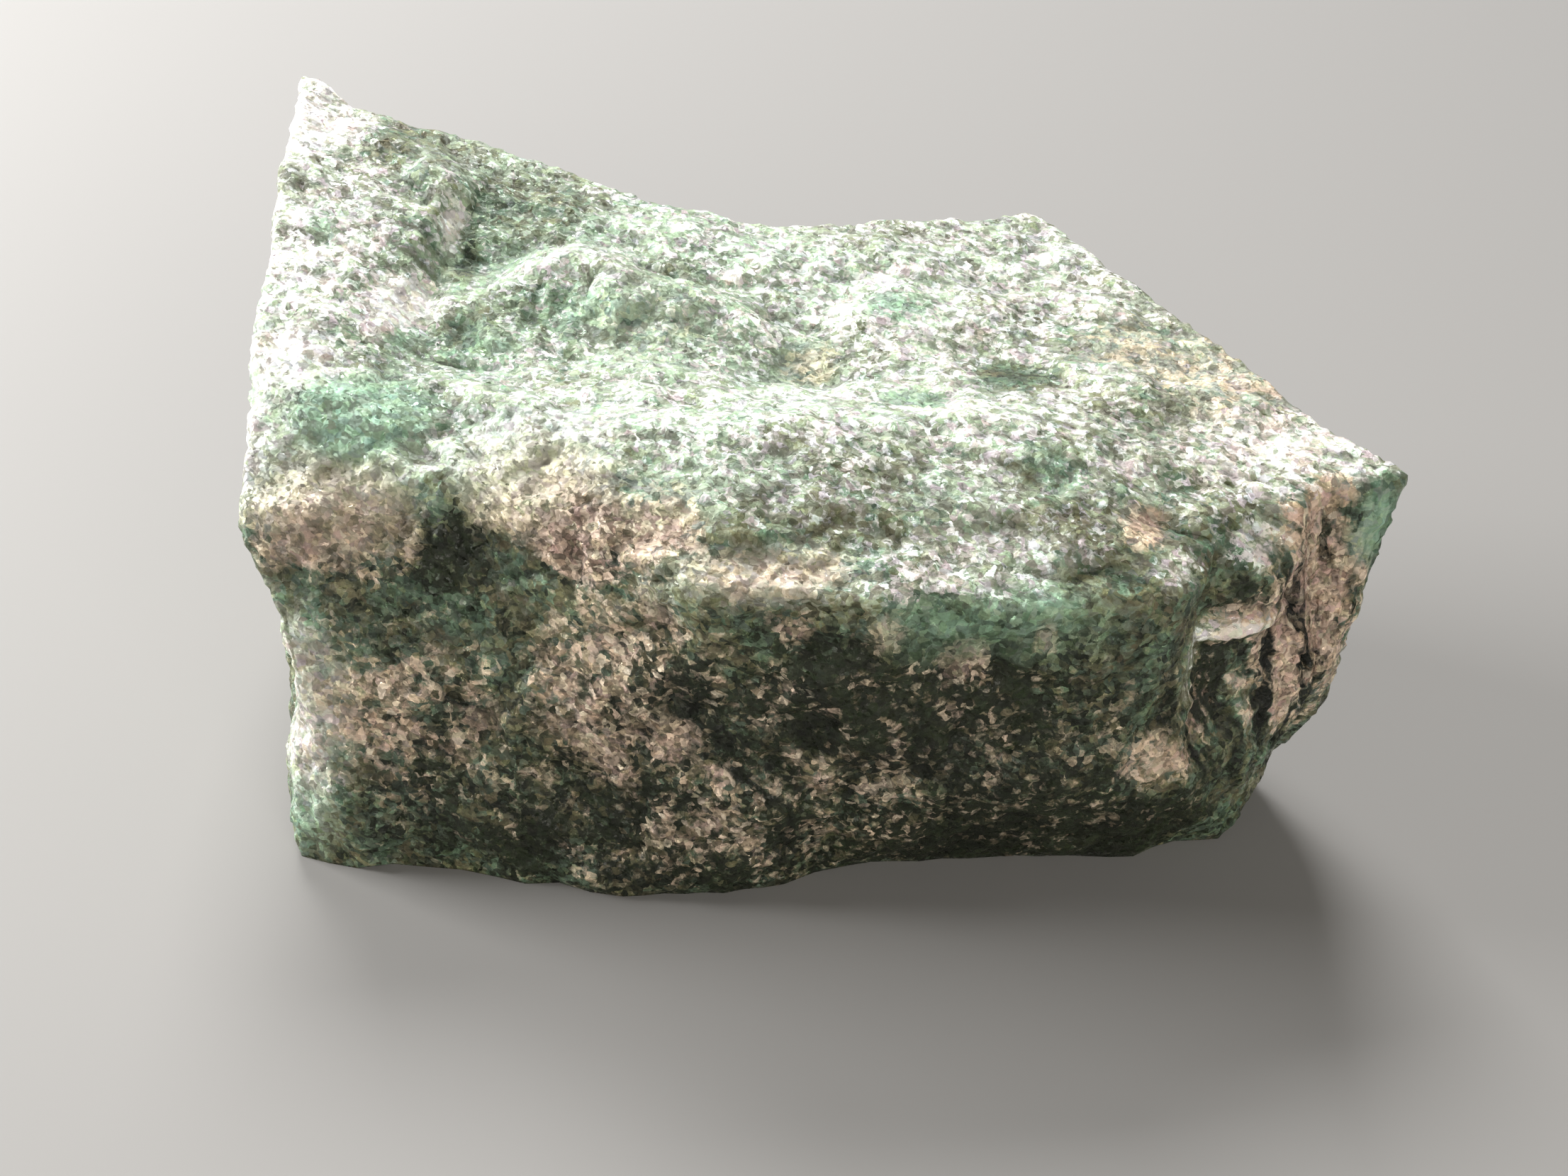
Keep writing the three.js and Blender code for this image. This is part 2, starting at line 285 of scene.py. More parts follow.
def chip_height(tree, space, size_mm, depth_mm):
    """The height of tilted chips of one size: a tilt inside each cell, and a step."""
    at = vectors(tree, "SCALE", space, 1 / size_mm)
    cells = add(tree, "ShaderNodeTexVoronoi", {"Vector": at, "Scale": 1.0})
    chances = vectors(tree, "SUBTRACT", cells.outputs["Color"], HALF)
    from_centre = vectors(tree, "SUBTRACT", at, cells.outputs["Position"])
    lean = vectors(tree, "DOT_PRODUCT", chances, from_centre)
    lift = vectors(tree, "DOT_PRODUCT", chances, LIFT_SHARES)
    tilt = maths(tree, "MULTIPLY", lean, CHIP_TILT)
    step = maths(tree, "MULTIPLY", lift, CHIP_STEP)
    return maths(tree, "MULTIPLY", maths(tree, "ADD", tilt, step), depth_mm * MM)


# %% [markdown]
# The relief could be sculpted, but a Geometry Nodes tree treats all seventy thousand
# points alike and gives the same stone each time. It first blurs the points a little,
# which melts the solid's own facets into each other. Then it moves each point along its
# normal by the ribs and by three sizes of chip. Near the floor the relief fades out, so
# that the resting face stays flat and the stone still lies on the floor.
#
# It also stores how far each point stands out from its blurred neighbourhood. That is
# above zero on ridges and below in cracks, and the colours use it later to paint shade
# into the cracks and light onto the ridges.

# %% Relief
CHIPS = [(4.5, 0.2), (2.0, 0.16), (1.0, 0.12)]  # size and depth, in mm
RIB_DEPTH_MM = 0.6
FACET_BLUR = 1
RIDGE_BLUR = 4
REST_FLAT_MM = 0.02
REST_BAND_MM = 1.4


def blurred(tree, field, rounds):
    """Evens a field out between neighbouring points, a number of times."""
    return add(tree, "GeometryNodeBlurAttribute", {"Value": field, "Iterations": rounds},
               data_type="FLOAT_VECTOR").outputs[0]


def store_standing(tree, geometry, name, rounds):
    """Stores how far each point stands out of its neighbourhood, in mm."""
    place = add(tree, "GeometryNodeInputPosition").outputs[0]
    normal = add(tree, "GeometryNodeInputNormal").outputs[0]
    above = vectors(tree, "SUBTRACT", place, blurred(tree, place, rounds))
    standing = maths(tree, "MULTIPLY", vectors(tree, "DOT_PRODUCT", above, normal), 1 / MM)
    return add(tree, "GeometryNodeStoreNamedAttribute", {
        "Geometry": geometry, "Name": name, "Value": standing,
    }, data_type="FLOAT", domain="POINT").outputs[0]


def relief_tree():
    tree = bpy.data.node_groups.new("broken relief", "GeometryNodeTree")
    for direction in ("INPUT", "OUTPUT"):
        tree.interface.new_socket("Geometry", in_out=direction,
                                  socket_type="NodeSocketGeometry")
    start = add(tree, "NodeGroupInput").outputs[0]
    place = add(tree, "GeometryNodeInputPosition").outputs[0]
    normal = add(tree, "GeometryNodeInputNormal").outputs[0]
    melted = blurred(tree, place, FACET_BLUR)
    space = in_sheets(tree, place)
    height = maths(tree, "MULTIPLY", rib_height(tree, space), RIB_DEPTH_MM * MM)
    for size_mm, depth_mm in CHIPS:
        height = maths(tree, "ADD", height, chip_height(tree, space, size_mm, depth_mm))
    raised = vectors(tree, "ADD", melted, vectors(tree, "SCALE", normal, height))
    above_floor = add(tree, "ShaderNodeSeparateXYZ", {0: place}).outputs["Z"]
    free = add(tree, "ShaderNodeMapRange", {
        "Value": above_floor, "From Min": REST_FLAT_MM * MM, "From Max": REST_BAND_MM * MM})
    shift = vectors(tree, "SUBTRACT", raised, place)
    offset = vectors(tree, "SCALE", shift, free.outputs[0])
    moved = add(tree, "GeometryNodeSetPosition", {"Geometry": start, "Offset": offset})
    ridged = store_standing(tree, moved.outputs[0], "fine_ridge", RIDGE_BLUR)
    add(tree, "NodeGroupOutput", {0: ridged})
    return tree


modifier = stone.modifiers.new("broken relief", "NODES")
modifier.node_group = relief_tree()
bpy.ops.object.modifier_apply(modifier=modifier.name)
ridges = [point.value for point in stone.data.attributes["fine_ridge"].data]
print("fine ridges, mm:", round(min(ridges), 2), "to", round(max(ridges), 2))

# %% [markdown]
# ## Stains
#
# Each chunk is stained in its own way. Stains could be painted on the faces, but they
# soak into the rock, so here each one is a set of soft blobs in space. A blob is stated
# by its middle, its reach along X, Y and Z in millimetres, and its strength. Each point
# of the mesh keeps the strongest blob it lies in, and the material breaks the stain up
# into grains later.

# %% Stain helper
FAINT = 0.1


def strongest(point_mm, blobs):
    """The strength of the strongest blob at a point, and zero outside all of them."""
    return max(0.0, *(strength * nearness(point_mm, middle, reach)
                      for middle, reach, strength in blobs))


def stain(name, blobs):
    """Keeps the strongest blob at each point of the mesh, under the stain's name."""
    strengths = [strongest(vertex.co / MM, blobs) for vertex in stone.data.vertices]
    stone.data.attributes.new(name, "FLOAT", "POINT").data.foreach_set("value", strengths)
    covered = sum(strength > FAINT for strength in strengths) / len(strengths)
    print(name, "covers", round(100 * covered), "%")


# %% [markdown]
# Where the stone was struck or rubbed, the outer grains are crushed, and the powder
# scatters light like snow. So frost lies on the top, on edges and on whatever stands out.
# This stain also paints light into the colour: the top, the peak, the brow, the left
# edges, the rim of the ledge and a few shaded walls are whitened as painted highlights.
# It could be found from the bends of the mesh alone, but real bruises follow chance as
# well, so the larger ones are stated one by one.

# %% Frost and painted light places
stain("frost_and_painted_light", [
    # painted light: the whole top is whitened where the window light falls on it
    ((0, 0, 40), (80, 36, 15), 0.93),  # the whole top, rubbed and bruised
    ((-41, 21, 46), (9, 11, 8), 1.08),  # peak
    ((-38, 7, 41), (12, 22, 7), 1.03),  # left part of the top
    ((-39, -2, 37.5), (7, 4, 3), 1.35),  # band on the left
    ((-42, -7, 33), (3, 6, 9), 0.9),  # left edge below the band
    # painted highlight along the brow
    ((-25, -5, 36.5), (6, 3, 3), 0.9),  # along the brow
    ((-18, -9.5, 37.5), (7, 3.5, 3), 0.9),  # and further along it
    ((-21, -0.5, 36), (6, 1.8, 2), 0.9),  # foot of the fin
    ((12, 7.5, 38.5), (4, 2.5, 2), 0.9),  # behind the mint lump
    ((25, -14, 36), (6, 4, 4), 0.8),  # right end of the bevel
    ((35, -12, 36.5), (14, 9, 5), 1.08),  # towards the right tip
    ((43.5, -15, 32), (3, 3, 7), 0.75),  # right tip
    ((12, -21, 34.5), (18, 4, 3), 0.74),  # foot of the bevel
    ((-31.5, 3, 38.5), (6, 7, 4), 1.45),  # below the crease
    # painted light on the wall of the crease, which lies in shade
    ((-28.5, 12.5, 40), (3, 7, 4), 1.18),  # wall of the crease
    ((-2, -22.5, 33.5), (8, 3, 2.4), 0.8),  # strip on the ledge
    # painted backlit highlight along the rim of the ledge
    ((12, -23.7, 33.6), (14, 3, 2), 0.95),  # rim of the ledge
    ((27, -21.5, 33.5), (3.5, 2.5, 2.2), 0.9),  # right end of the rim
    ((34, -17, 32), (5, 4, 3), 1.05),  # wedge by the right end
    # painted light on the sill, which lies in shade
    ((34, -20.5, 25.6), (5.5, 4, 1.8), 1.8),  # sill below it
    ((30, -21.5, 21), (1.6, 3, 8), 0.6),  # upright edge of the front
    ((28.5, -24.5, 15), (4, 3, 4), 0.7),  # lump at its foot
    ((-39.5, -20, 14), (5.5, 7, 16), 0.92),  # left edge of the front
])

# %% [markdown]
# Where the quartz is thin or has few cracks, light gets into it and comes back bright
# green, as from bottle glass. No rule of shape tells where that is, so these patches are
# stated too.

# %% Clear places
stain("clear", [
    ((-16, 2, 38), (56, 34, 12), 0.55),  # the whole top
    ((-33, -7, 35.5), (8, 5, 4), 1.4),  # smooth left shoulder
    ((-38, 9, 42), (3, 5, 3), 0.8),  # patch on the peak
    ((14, -24.5, 30.5), (13, 3, 5), 0.9),  # under the rim of the ledge
    ((43.5, -15, 32), (3, 3, 5), 1.0),  # right tip
    ((18.5, -15, 37), (4, 4, 3), 0.7),  # on the bevel
    ((8.5, 3.5, 38.3), (6, 3.5, 2.5), 0.8),  # mint lump
    ((9, -7, 36.5), (5, 3, 2), 0.9),  # left of the dent
    ((-2, -10.5, 38.5), (7, 3, 2), 0.6),  # left end of the bevel
    ((-31, 1, 37), (4, 3, 2), 0.9),  # saddle beside the fin
    ((-41, -21, 4), (6, 6, 7), 0.6),  # lower left corner
])

# %% [markdown]
# Water has carried iron into the rock and left rust in some lumps and along the sheets.
# The faces behind and beside the front have wide and weak blobs, which give scattered
# flecks and no large patch. The front has smaller and stronger ones on top of that.

# %% Tan places
stain("tan", [
    ((0, 32, 12), (66, 18, 24), 0.55),  # flecks over the whole back
    ((-54, 4, 12), (14, 36, 24), 0.6),  # and over the left face
    ((50, 0, 12), (16, 28, 22), 0.6),  # and over the right face
    ((8, 20, 12), (18, 8, 7), 0.62),  # drifts on the back and the left face
    ((-30, 26, 22), (9, 6, 13), 0.62),
    ((-45, 8, 10), (5, 13, 7), 0.62),
    ((32, -20.5, 17), (3, 3, 8), 0.3),  # notch
    ((-2, -22.5, 33.5), (8, 3, 2.4), 0.8),  # strip on the ledge
    ((0, -30, 14), (60, 14, 24), 0.45),  # flecks over the whole front
    ((34, -4, 37), (14, 14, 5), 0.5),  # right part of the top
    ((-35, -13, 29.5), (9, 6, 6), 1.0),  # left, below the shoulder
    ((-18, -14.5, 33.5), (9, 6, 5), 1.0),  # lump on the brow
    ((-15, -17, 32.5), (7, 5, 5), 1.3),  # and down its front
    ((-9, -18, 33.5), (6, 5, 4), 1.1),  # and to the right of it
    ((-29, 8.5, 37), (3, 4, 3), 0.5),  # foot of the crease
    ((-11, 2, 38), (7, 9, 4), 0.45),  # middle of the top
    ((1.5, -1, 35.5), (4, 3, 3), 0.8),  # bowl in the top
    ((26, -0.5, 37), (7, 5, 3), 0.6),  # behind the dent
    ((25, -19, 34.5), (3, 3, 2), 0.8),  # right end of the bevel
    ((39.5, -15, 33.5), (3.5, 3, 4), 1.0),  # by the right tip
    ((39, -17, 24), (7, 5, 16), 1.15),  # right end
    ((34.5, -20, 26.5), (5, 4, 4), 0.9),  # sill and beside it
    ((-6, -25, 7), (16, 4, 9), 0.6),  # foot of the front
    ((0, -24, 30), (2.5, 2, 2.5), 0.8),  # flecks under the ledge
    ((6, -25, 30), (3, 2, 3), 0.8),
    ((12.5, -24.5, 27), (3, 2, 3.5), 1.0),
    ((18, -24.5, 29.5), (1.5, 2, 2.5), 0.9),
    ((28, -24.5, 15.5), (6, 4, 4.5), 0.82),  # lump beside the notch
    ((-31, -20, 15), (13, 7, 14), 0.62),  # left part of the front
    ((-13, -22, 20), (12, 7, 15), 0.7),  # middle of the front
])

# %% [markdown]
# Thick and sheltered rock sends little light back, so hollows, the undercut and the foot
# of a wall look nearly black. This stain is partly dark rock and partly painted shade: it
# also darkens the whole front, which faces away from the window light. The renderer's own
# shadows give only a part of that, because light also dies inside the rock, which isn't
# followed here.

# %% Deep places and painted shade
stain("deep_and_painted_shade", [
    # painted shade in the hollows, under the brow, in the undercut, the notch and the dent
    ((-27, 10.5, 38.5), (1.2, 6, 2.5), 1.2),  # foot of the crease's wall
    ((-33, -10, 34), (5, 3, 3), 0.45),  # below the smooth shoulder
    ((-15, -17.5, 31.5), (7, 4, 4), 0.7),  # lower side of the brow
    # painted shade over the whole front, which faces away from the window light
    ((0, -30, 12), (60, 13, 26), 0.5),  # the whole front, least bruised
    ((-22, 13.5, 38.5), (8, 7, 5), 0.35),  # hollow beside the peak
    ((-25.5, 1.5, 36.5), (4, 3, 3), 0.6),  # under the fin
    ((-18, 3, 38), (8, 3, 3), 0.45),  # and along it
    ((-26, -14.5, 30), (5, 5, 5), 0.85),  # under the brow
    ((-15.5, -17, 33.5), (6, 4, 3), 0.95),  # front of the brow
    ((8, -25.5, 22), (17, 5, 10), 1.0),  # right half of the front
    ((19, -24, 6), (19, 5, 8), 1.4),  # undercut
    ((-24, -24.5, 5), (15, 4, 4), 0.6),  # foot of the front, on the left
    ((20, -23.3, 32.5), (1.8, 1.6, 1.5), 0.8),  # nick in the rim
    ((32, -20, 19), (2, 2.5, 8), 1.3),  # notch
    ((33.5, -19, 29.5), (3, 2.5, 2), 0.5),  # set back beside it
    ((17.3, -4, 36), (4.5, 3, 2.5), 1.1),  # dent in the top
    ((-10, 24, 24), (26, 8, 9), 0.45),  # back
    ((-46, -2, 26), (6, 14, 9), 0.45),  # left face
])

# %% [markdown]
# Some lumps have been rubbed smooth. Their grains show less there, and one colour runs
# softly into the next. A smoother mesh alone would not do, because most of the grain is
# colour.

# %% Worn places
stain("worn", [
    ((-35, -11, 32.5), (11, 9, 7), 1.0),  # left shoulder and lump
    ((-19, -12.5, 34.5), (10, 6.5, 5), 1.1),  # lump on the brow
    ((-2, -22.5, 33.3), (8, 3, 2.4), 0.9),  # strip on the ledge
    ((-40, -18.5, 15), (6, 7, 20), 0.6),  # left edge of the front
    ((-40, -3, 36.5), (6, 5, 5), 0.8),  # band on the left
])

# %% [markdown]
# At the right end and in the notch beside it, the break cuts across the sheets. Their
# edges show as ribs, with painted shade in the grooves between them and streaks of colour
# along them. The relief has ribs everywhere, and this stain says where the colours follow
# them as well.

# %% Ribbed places
stain("ribbed", [
    ((39.5, -17, 22), (9, 7, 20), 1.3),  # right end
    ((31, -21.5, 18), (4, 4, 11), 0.9),  # notch
    ((-2, -24, 17), (9, 5, 12), 0.5),  # middle of the front
])

# %% [markdown]
# ## The quartz
#
# Seen close, the stone is a crowd of glassy grains in blotches with ragged edges. Noise
# with many octaves gives the blotches. A Voronoi pattern gives the grains: every cell
# has its own shade, its own gloss and its own tilt.
#
# The helpers turn these patterns into layers of colour. A level is a sum of patterns and
# stains, each with its own weight, and a ramp turns the level into a share from 0 to 1.

# %% Colour helpers
def noise(tree, space, size_mm, shift=0.0, roughness=0.6):
    """Cloudy noise round 0.5, with blotches of one size and ragged edges."""
    shifted = vectors(tree, "ADD", space, (shift, shift, shift))
    return add(tree, "ShaderNodeTexNoise", {
        "Vector": vectors(tree, "SCALE", shifted, 1 / size_mm),
        "Scale": 1.0, "Detail": 5.0, "Roughness": roughness}).outputs[0]


def grains(tree, space, size_mm):
    """One random colour for each grain: three chances from 0 to 1."""
    at = vectors(tree, "SCALE", space, 1 / size_mm)
    return add(tree, "ShaderNodeTexVoronoi", {"Vector": at, "Scale": 1.0}).outputs["Color"]


def split(tree, colour):
    """The three numbers of a colour or a vector."""
    return add(tree, "ShaderNodeSeparateXYZ", {0: colour}).outputs


def stored(tree, name):
    """What the mesh has stored under a name, at each point of the stone."""
    return add(tree, "ShaderNodeAttribute", attribute_name=name).outputs["Fac"]


def ramp(tree, value, low, high, start=0.0, end=1.0):
    """Takes value from low..high to start..end, and no further."""
    return add(tree, "ShaderNodeMapRange", {
        "Value": value, "From Min": low, "From Max": high, "To Min": start, "To Max": end,
    }).outputs[0]


def weigh(tree, *terms):
    """Adds up pairs of value and weight."""
    total = 0.0
    for value, weight in terms:
        total = maths(tree, "MULTIPLY_ADD", value, weight, total)
    return total


MIX_UNDER, MIX_OVER, MIX_RESULT = 6, 7, 2  # the colour sockets of a mix node


def lay_over(tree, share, under, over):
    """Lays a share from 0 to 1 of one colour over another."""
    made = add(tree, "ShaderNodeMix", {0: share}, data_type="RGBA")
    for slot, colour in ((MIX_UNDER, under), (MIX_OVER, over)):
        plain = not isinstance(colour, bpy.types.NodeSocket)
        feed(tree, made.inputs[slot], (*colour, 1) if plain else colour)
    return made.outputs[MIX_RESULT]


# %% [markdown]
# Two sizes of grain fill the rock: quartz grains, and the small flakes between them.
# Straight cells would look like paving, so the space is bent a little before it is
# shared out. Clouds of four sizes, from eight millimetres down to less than one, give
# blotches, spots and specks. They are shifted apart, so that no two lie on each other.
#
# Streaks follow the ribs, from minus one in a groove to one on a back. They are kept to
# the places where the break cuts across the sheets.

# %% Grains and clouds
GRAIN_MM = 0.6
FLAKE_MM = 0.28
BEND_MM = 1.25
CLOUD_MM = 8.0
BLOTCH_MM = 2.7
SPOT_MM = 1.3
SPECK_MM = 0.7
GROOVE_TO_BACK = (0.38, 0.62)

quartz = bpy.data.materials.new("quartzite")
quartz.use_nodes = True
tree = quartz.node_tree
shader = tree.nodes["Principled BSDF"]
place = add(tree, "ShaderNodeTexCoord").outputs["Object"]
sheets = in_sheets(tree, place)
bend = add(tree, "ShaderNodeTexNoise", {
    "Vector": sheets, "Scale": 1 / BEND_MM, "Detail": 4.0}).outputs["Color"]
space = vectors(tree, "ADD", sheets, vectors(tree, "SUBTRACT", bend, HALF))

grain_colour = grains(tree, space, GRAIN_MM)
flake_colour = grains(tree, space, FLAKE_MM)
grain = split(tree, grain_colour)
flake = split(tree, flake_colour)

cloud = noise(tree, space, CLOUD_MM)
blotch = noise(tree, space, BLOTCH_MM, shift=31.0, roughness=0.7)
spot = noise(tree, space, SPOT_MM, shift=57.0, roughness=0.7)
speck = noise(tree, space, SPECK_MM, shift=83.0)

STAINS = ("frost_and_painted_light", "clear", "tan", "deep_and_painted_shade", "worn", "ribbed")
frost_and_painted_light, clear, tan, deep_and_painted_shade, worn, ribbed = (stored(tree, name) for name in STAINS)
fine_ridge = stored(tree, "fine_ridge")
rib = rib_height(tree, sheets)
streak = maths(tree, "MULTIPLY", ramp(tree, rib, *GROOVE_TO_BACK, -1.0, 1.0), ribbed)
print("nodes with the grains:", len(tree.nodes))

# %% [markdown]
# The base is green, because fine mica lies all through the quartz. How much of it there
# is changes the hue, from olive to green. How far light comes through changes the depth,
# from nearly black to a pale sage. Following light through the rock would be truer, but
# very slow, so the depth is stated by the clouds, the grains and the stains. Through the
# frost stain it also carries painted light, paler where the window light falls, and
# through the deep stain painted shade, nearly black in sheltered places and on the front.

# %% Greens
# the darkest green is partly dark rock and partly painted shade, where the deep stain is
# strong
DEEP_GREEN_AND_PAINTED_SHADE = (0.020, 0.026, 0.013)
OLIVE = (0.165, 0.165, 0.095)
GREEN = (0.120, 0.185, 0.120)
SAGE = (0.360, 0.405, 0.325)
HUE_MM = 4.0
OLIVE_TO_GREEN = (0.5, 0.65)
DEEP_AND_SHADE_TO_GREEN = (0.75, 1.05)
GREEN_TO_SAGE = (1.1, 1.4)

depth_with_painted_light_and_shade = weigh(tree, (cloud, 0.8), (spot, 0.7), (grain[0], 0.3), (flake[0], 0.15),
              (frost_and_painted_light, 0.5), (worn, 0.3), (deep_and_painted_shade, -0.5), (streak, 0.3))
hue_cloud = noise(tree, space, HUE_MM, shift=7.0)
hue = weigh(tree, (hue_cloud, 1.0), (grain[2], 0.15))
colour = lay_over(tree, ramp(tree, hue, *OLIVE_TO_GREEN), OLIVE, GREEN)
colour = lay_over(tree, ramp(tree, depth_with_painted_light_and_shade, *DEEP_AND_SHADE_TO_GREEN), DEEP_GREEN_AND_PAINTED_SHADE, colour)
colour = lay_over(tree, ramp(tree, depth_with_painted_light_and_shade, *GREEN_TO_SAGE), colour, SAGE)
print("nodes with the greens:", len(tree.nodes))

# %% [markdown]
# Rust lies over the green. It covers the places where its clouds and its stain together
# pass a level, so a strong stain joins the blotches up and a weak one leaves a few
# flecks. Fresh rock has crisp blotches. Worn rock has soft ones, so the same level is
# passed sooner there and over a wider range. `edge` gives both ends of that range.

# %% Tan
TAN = (0.590, 0.450, 0.345)
UMBER = (0.185, 0.145, 0.110)
UMBER_TO_TAN = (0.3, 0.8)
TAN_EDGE = (1.2, 1.36)
TAN_EDGE_WORN = (0.95, 1.55)


def edge(tree, worn, fresh_edge, worn_edge):
    """Where a layer starts and where it is full, between fresh and worn rock."""
    return [ramp(tree, worn, 0.0, 1.0, fresh, rubbed)
            for fresh, rubbed in zip(fresh_edge, worn_edge)]


tan_level = weigh(tree, (cloud, 0.5), (blotch, 0.75), (spot, 0.5), (grain[1], 0.22),
                  (tan, 0.5), (streak, 0.25))
# the tan is paler under frost and painted light, and darker in painted shade
tan_light = weigh(tree, (grain[2], 0.5), (flake[1], 0.3), (spot, 0.5), (frost_and_painted_light, 0.25),
                  (deep_and_painted_shade, -0.3))
tan_tone = lay_over(tree, ramp(tree, tan_light, *UMBER_TO_TAN), UMBER, TAN)
tan_cover = ramp(tree, tan_level, *edge(tree, worn, TAN_EDGE, TAN_EDGE_WORN))
colour = lay_over(tree, tan_cover, colour, tan_tone)
print("nodes with the tan:", len(tree.nodes))

# %% [markdown]
# Where the quartz is clear and thin, light gets in and comes back bright green. Real
# glassy patches are see-through, but only for a millimetre or two, and a green that
# follows the depth of the base below looks much the same. Since that depth carries
# painted light and shade, the clear green is paler on the lit top and darker on the
# shaded front. It never covers that base in full, so some of the grains still show
# through.

# %% Clear green
CLEAR_GREEN = (0.270, 0.450, 0.320)
CLEAR_EDGE = (1.0, 1.45)
CLEAR_MOST = 0.75
GREEN_TO_CLEAR = (0.8, 1.25)

clear_level = weigh(tree, (cloud, 0.7), (blotch, 0.5), (spot, 0.4), (grain[0], 0.15),
                    (clear, 0.6))
clear_cover = ramp(tree, clear_level, *CLEAR_EDGE, 0.0, CLEAR_MOST)
clear_tone = lay_over(tree, ramp(tree, depth_with_painted_light_and_shade, *GREEN_TO_CLEAR), GREEN, CLEAR_GREEN)
colour = lay_over(tree, clear_cover, colour, clear_tone)
print("nodes with the clear green:", len(tree.nodes))

# %% [markdown]
# Frost and painted light come last, because a crushed grain is white whatever it was
# before. The same white stands for highlights where the window light falls, so it is
# partly frost and partly painted light. It is held back by rust, by the painted shade of
# sheltered parts and most of all by glassy ones, which have no crust. A little rust under
# it turns it from white to cream.

# %% Frost and painted light
FROST_AND_LIGHT_WHITE = (0.860, 0.870, 0.840)
CREAM_FROST_AND_LIGHT = (0.870, 0.790, 0.710)
FROST_AND_LIGHT_TO_CREAM = (0.45, 0.7)
FROST_AND_LIGHT_EDGE = (1.12, 1.26)
FROST_AND_LIGHT_EDGE_WORN = (0.9, 1.5)
FROST_AND_LIGHT_MOST = 0.92
CLEAR_TO_GLASSY = (0.6, 1.2)

glassy = ramp(tree, clear, *CLEAR_TO_GLASSY)
frost_and_light_level = weigh(tree, (blotch, 0.4), (spot, 0.5), (speck, 0.4), (grain[2], 0.2),
                    (flake[0], 0.15), (frost_and_painted_light, 0.5), (clear, -0.2), (tan, -0.3),
                    (deep_and_painted_shade, -0.3), (streak, 0.25), (glassy, -0.35))
frost_and_light_warmth = weigh(tree, (blotch, 1.0), (tan, 0.4))
frost_and_light_tone = lay_over(tree, ramp(tree, frost_and_light_warmth, *FROST_AND_LIGHT_TO_CREAM), FROST_AND_LIGHT_WHITE, CREAM_FROST_AND_LIGHT)
frost_and_light_edge = edge(tree, worn, FROST_AND_LIGHT_EDGE, FROST_AND_LIGHT_EDGE_WORN)
frost_and_light_cover = ramp(tree, frost_and_light_level, *frost_and_light_edge, 0.0, FROST_AND_LIGHT_MOST)
colour = lay_over(tree, frost_and_light_cover, colour, frost_and_light_tone)
print("nodes with the frost:", len(tree.nodes))

# %% [markdown]
# Each grain and flake then gets its own shade and a trace of its own tint. Hollows
# between grains are darker and ridges lighter, and so are the grooves and backs of the
# ribs, because less light comes back out of a hollow: that is painted shade and painted
# light. The relief does some of that by itself, but cracks between single grains are
# finer than the mesh. Worn, clear, frosted and brightly lit parts are calmer: their shade
# is drawn towards one.

# %% Shade of each grain
GRAIN_SHADE = (0.75, 1.3)
FLAKE_SHADE = (0.75, 1.25)
RIDGE_MM = (-0.25, 0.2)
RIDGE_SHADE = (0.55, 1.15)
GROOVE_TO_LIGHT = (0.4, 0.53)
GROOVE_SHADE = 0.65
GROOVE_SHADE_RIBBED = 0.25
BACK_SHADE = 1.12
FROST_AND_LIGHT_CALM = 0.6
CALM_FULL = 1.4
TINT_SPAN = 0.16

groove_shade = ramp(tree, ribbed, 0.0, 1.0, GROOVE_SHADE, GROOVE_SHADE_RIBBED)
shade = ramp(tree, grain[1], 0, 1, *GRAIN_SHADE)
for finer in (
        ramp(tree, flake[1], 0, 1, *FLAKE_SHADE),
        ramp(tree, fine_ridge, *RIDGE_MM, *RIDGE_SHADE),
        ramp(tree, rib, *GROOVE_TO_LIGHT, groove_shade, BACK_SHADE)):
    shade = maths(tree, "MULTIPLY", shade, finer)
calm = maths(tree, "MAXIMUM", clear_cover, worn)
calm = maths(tree, "MAXIMUM", calm, maths(tree, "MULTIPLY", frost_and_painted_light, FROST_AND_LIGHT_CALM))
shade = ramp(tree, calm, 0.0, CALM_FULL, shade, 1.0)

tint = vectors(tree, "SCALE", grain_colour, TINT_SPAN)
tint = vectors(tree, "ADD", tint, (1 - TINT_SPAN / 2,) * 3)
colour = vectors(tree, "SCALE", vectors(tree, "MULTIPLY", colour, tint), shade)
tree.links.new(colour, shader.inputs["Base Color"])
print("nodes with the shade:", len(tree.nodes))

# %% [markdown]
# A broken grain is flat and glassy. Most flakes are dull and a few are glossy, so the
# roughness differs from flake to flake. A few others are mica, and those are small
# mirrors. The index of refraction is quartz's own and the same all over. Its reflection
# is kept weak, because the pale floor would otherwise veil the shaded side with grey.

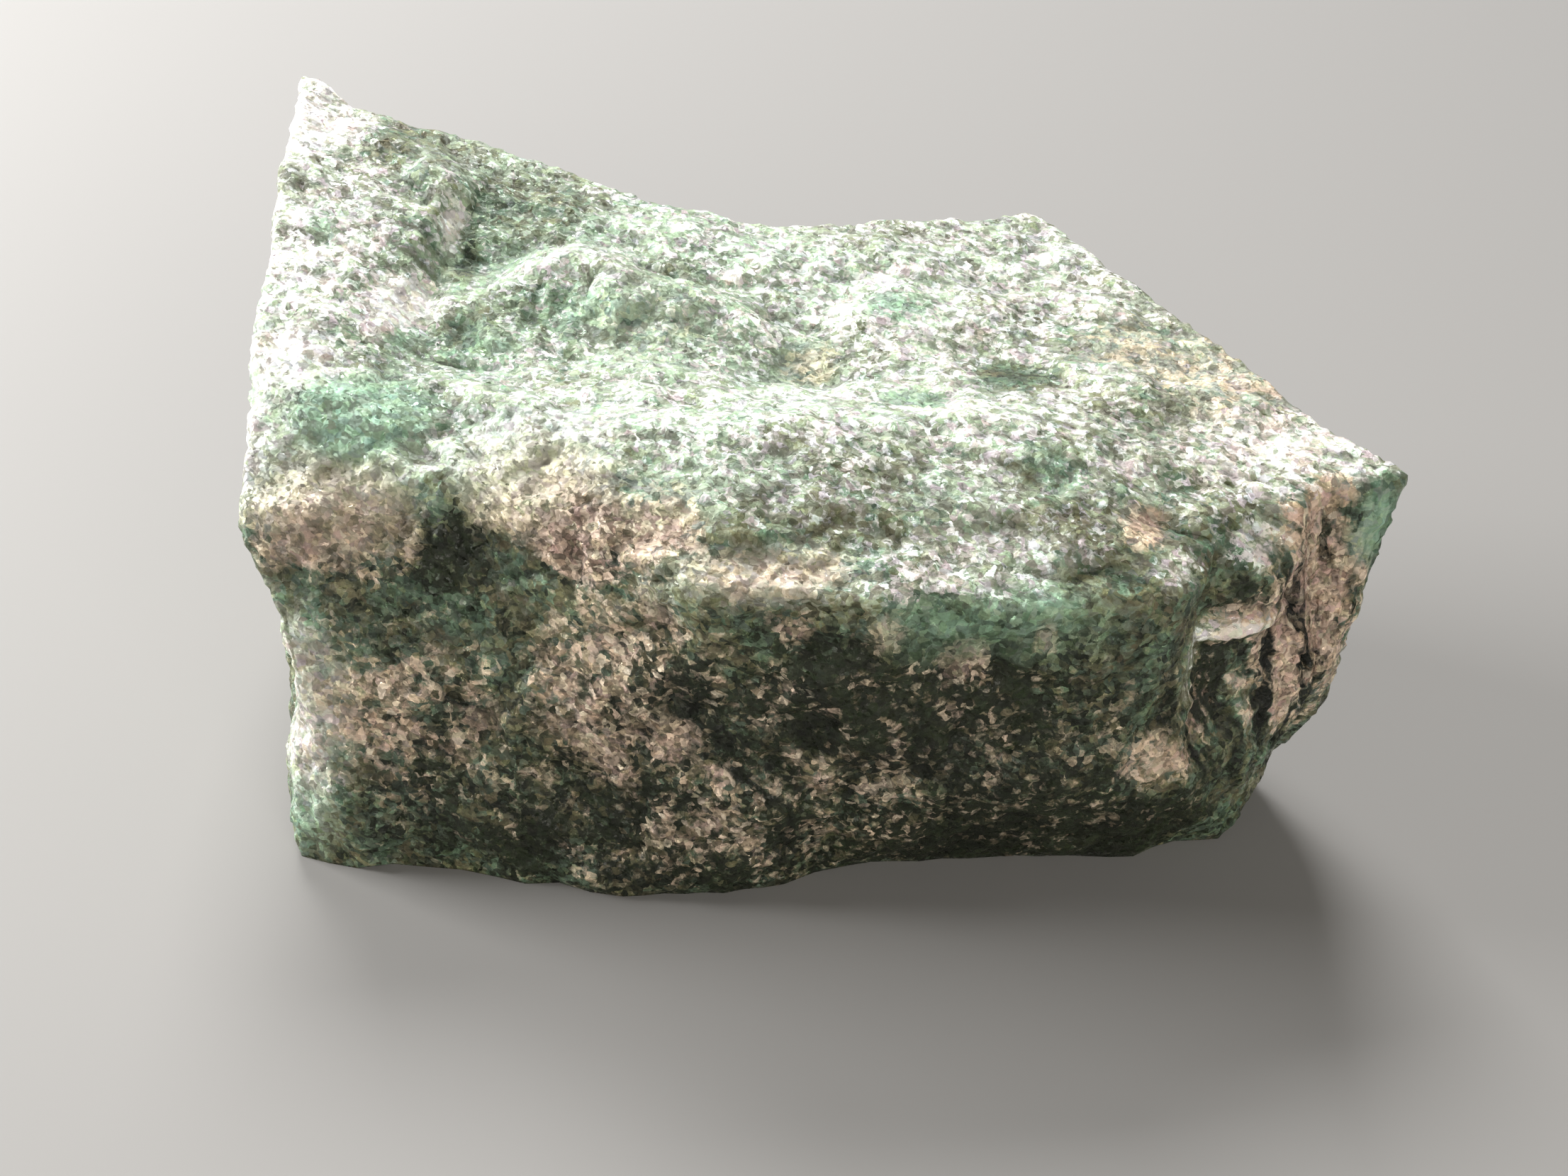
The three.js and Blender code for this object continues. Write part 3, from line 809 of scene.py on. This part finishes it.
# %% Gloss
QUARTZ_IOR = 1.544
REFLECTED_SHARE = 0.3
GLOSSY_FLAKES = (0.65, 0.9)
DULL_ROUGHNESS = 0.6
GLOSSY_ROUGHNESS = 0.12
MICA_FLAKES = (0.86, 0.9)
MICA_MIRROR = 0.55

gloss = ramp(tree, flake[0], *GLOSSY_FLAKES, DULL_ROUGHNESS, GLOSSY_ROUGHNESS)
mica = ramp(tree, flake[2], *MICA_FLAKES, 0.0, MICA_MIRROR)
tree.links.new(gloss, shader.inputs["Roughness"])
tree.links.new(mica, shader.inputs["Metallic"])
shader.inputs["IOR"].default_value = QUARTZ_IOR
shader.inputs["Specular IOR Level"].default_value = REFLECTED_SHARE
print("mica, % of the flakes:", round(100 * (1 - MICA_FLAKES[1])))

# %% [markdown]
# The flash of the stone comes from single grains that happen to face the light. So each
# grain leans its own way, and each flake on it a bit more. Only the normal is tilted,
# because at this size the lean shows in the glint and not in the outline. A bump lays
# the finest crumbs on top, and lower ones where the stone is worn.

# %% Tilt
GRAIN_TILT = 0.35
FLAKE_TILT = 0.5
CRUMB_HEIGHT = 0.14 * MM
CRUMBS_WORN = 0.4


def tilted(tree, normal, chances, tilt):
    """Leans a normal to one side, by three chances from 0 to 1."""
    lean = vectors(tree, "SUBTRACT", chances, HALF)
    leaning = vectors(tree, "ADD", normal, vectors(tree, "SCALE", lean, tilt))
    return vectors(tree, "NORMALIZE", leaning)


crumbs = add(tree, "ShaderNodeBump", {
    "Strength": ramp(tree, worn, 0.0, 1.0, 1.0, CRUMBS_WORN), "Distance": CRUMB_HEIGHT,
    "Height": weigh(tree, (speck, 1.0), (spot, 0.8))}).outputs[0]
facing = tilted(tree, crumbs, grain_colour, GRAIN_TILT)
facing = tilted(tree, facing, flake_colour, FLAKE_TILT)
tree.links.new(facing, shader.inputs["Normal"])
stone.data.materials.append(quartz)
print("nodes in the quartz:", len(tree.nodes))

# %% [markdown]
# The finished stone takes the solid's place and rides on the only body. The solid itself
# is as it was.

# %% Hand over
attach(stone, "root")
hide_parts("raw_stone")
